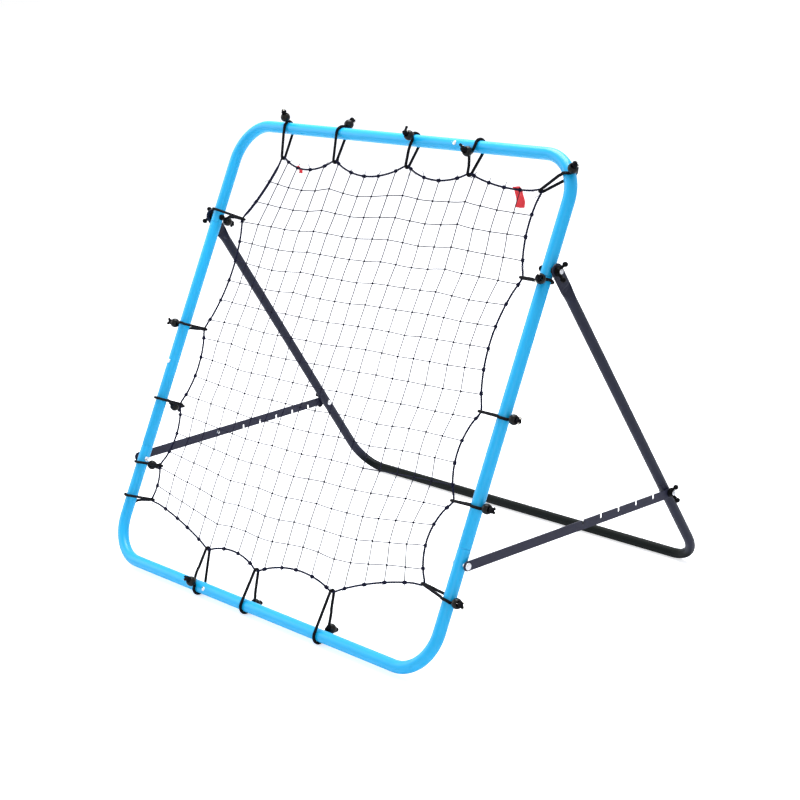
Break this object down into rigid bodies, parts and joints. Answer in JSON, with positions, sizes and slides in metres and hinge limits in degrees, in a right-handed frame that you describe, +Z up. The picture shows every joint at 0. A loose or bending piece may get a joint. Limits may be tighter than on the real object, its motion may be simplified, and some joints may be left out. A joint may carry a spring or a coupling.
{
  "type": "rebound net",
  "caption": "Leaning steel tube frame that holds a knotted rebound net on elastic ball ties, with a hinged rear stand and notched brace bars.",
  "frame": {"origin": "centre of the bounding box at floor level, where the object stands", "axes": "+X along the rails' width, to the right seen from the playing side; +Y from the playing side to the rear stand; +Z up"},
  "size_m": [1.3282, 0.9602, 1.1241],
  "materials": {
    "blue_powder_coat": "gloss powder coat",
    "black_powder_coat": "satin powder coat",
    "black_plastic": "moulded nylon",
    "zinc_plate": "bright zinc plate",
    "elastic_cord": "braided sheath",
    "ball_plastic": "moulded gloss",
    "border_rope": "twisted",
    "net_twine": "knotted twine"
  },
  "bodies": {
    "frame": {"top_bow": "blue_powder_coat", "bottom_bow": "blue_powder_coat", "side_tube_left": "blue_powder_coat", "side_tube_right": "blue_powder_coat", "rail_stud_top": "zinc_plate", "rail_stud_left": "zinc_plate", "rail_stud_bottom": "zinc_plate", "net": "net_twine", "border_rope": "border_rope", "tie_cord_01": "elastic_cord", "tie_cord_02": "elastic_cord", "tie_cord_03": "elastic_cord", "tie_cord_04": "elastic_cord", "tie_cord_05": "elastic_cord", "tie_cord_06": "elastic_cord", "tie_cord_07": "elastic_cord", "tie_cord_08": "elastic_cord", "tie_cord_09": "elastic_cord", "tie_cord_10": "elastic_cord", "tie_cord_11": "elastic_cord", "tie_cord_12": "elastic_cord", "tie_cord_13": "elastic_cord", "tie_cord_14": "elastic_cord", "tie_cord_15": "elastic_cord", "tie_cord_16": "elastic_cord", "tie_cord_17": "elastic_cord", "tie_ball_01": "ball_plastic", "tie_ball_02": "ball_plastic", "tie_ball_03": "ball_plastic", "tie_ball_04": "ball_plastic", "tie_ball_05": "ball_plastic", "tie_ball_06": "ball_plastic", "tie_ball_07": "ball_plastic", "tie_ball_08": "ball_plastic", "tie_ball_09": "ball_plastic", "tie_ball_10": "ball_plastic", "tie_ball_11": "ball_plastic", "tie_ball_12": "ball_plastic", "tie_ball_13": "ball_plastic", "tie_ball_14": "ball_plastic", "tie_ball_15": "ball_plastic", "tie_ball_16": "ball_plastic", "tie_ball_17": "ball_plastic", "hinge_bolt_left": "black_plastic", "hinge_bolt_right": "black_plastic", "hinge_spacer_left": "black_plastic", "hinge_spacer_right": "black_plastic", "bar_rivet_left": "zinc_plate", "bar_rivet_right": "zinc_plate"},
    "stand": {"stand_bow": "black_powder_coat", "stand_leg_left": "black_powder_coat", "stand_leg_right": "black_powder_coat", "lock_bolt_left": "zinc_plate", "lock_bolt_right": "zinc_plate"},
    "brace_left": {"brace_bar_left": "black_powder_coat"},
    "brace_right": {"brace_bar_right": "black_powder_coat"},
    "hinge_nut_left": {"hinge_wing_nut_left": "black_plastic"},
    "hinge_nut_right": {"hinge_wing_nut_right": "black_plastic"},
    "lock_nut_left": {"lock_wing_nut_left": "black_plastic"},
    "lock_nut_right": {"lock_wing_nut_right": "black_plastic"}
  },
  "joints": [
    {"name": "stand_fold", "type": "hinge", "parent": "frame", "child": "stand", "pos_m": [0, 0.00314, 0.84569], "axis": [1, 0, 0], "range_deg": [-41, 0]},
    {"name": "brace_swing_left", "type": "hinge", "parent": "frame", "child": "brace_left", "pos_m": [-0.605, -0.31885, 0.25017], "axis": [1, 0, 0], "range_deg": [-86.1, 0]},
    {"name": "brace_swing_right", "type": "hinge", "parent": "frame", "child": "brace_right", "pos_m": [0.605, -0.31885, 0.25017], "axis": [1, 0, 0], "range_deg": [-86.1, 0]},
    {"name": "hinge_nut_turn_left", "type": "hinge", "parent": "frame", "child": "hinge_nut_left", "pos_m": [-0.6346, 0.00314, 0.84569], "axis": [1, 0, 0], "continuous": true},
    {"name": "hinge_nut_turn_right", "type": "hinge", "parent": "frame", "child": "hinge_nut_right", "pos_m": [0.6346, 0.00314, 0.84569], "axis": [1, 0, 0], "continuous": true},
    {"name": "lock_nut_turn_left", "type": "hinge", "parent": "stand", "child": "lock_nut_left", "pos_m": [-0.6497, 0.34578, 0.23127], "axis": [1, 0, 0], "continuous": true},
    {"name": "lock_nut_turn_right", "type": "hinge", "parent": "stand", "child": "lock_nut_right", "pos_m": [0.6497, 0.34578, 0.23127], "axis": [1, 0, 0], "continuous": true}
  ],
  "couplings": [
    {"joint": "brace_swing_left", "follows": "stand_fold", "ratio": 2.1},
    {"joint": "brace_swing_right", "follows": "stand_fold", "ratio": 2.1}
  ]
}
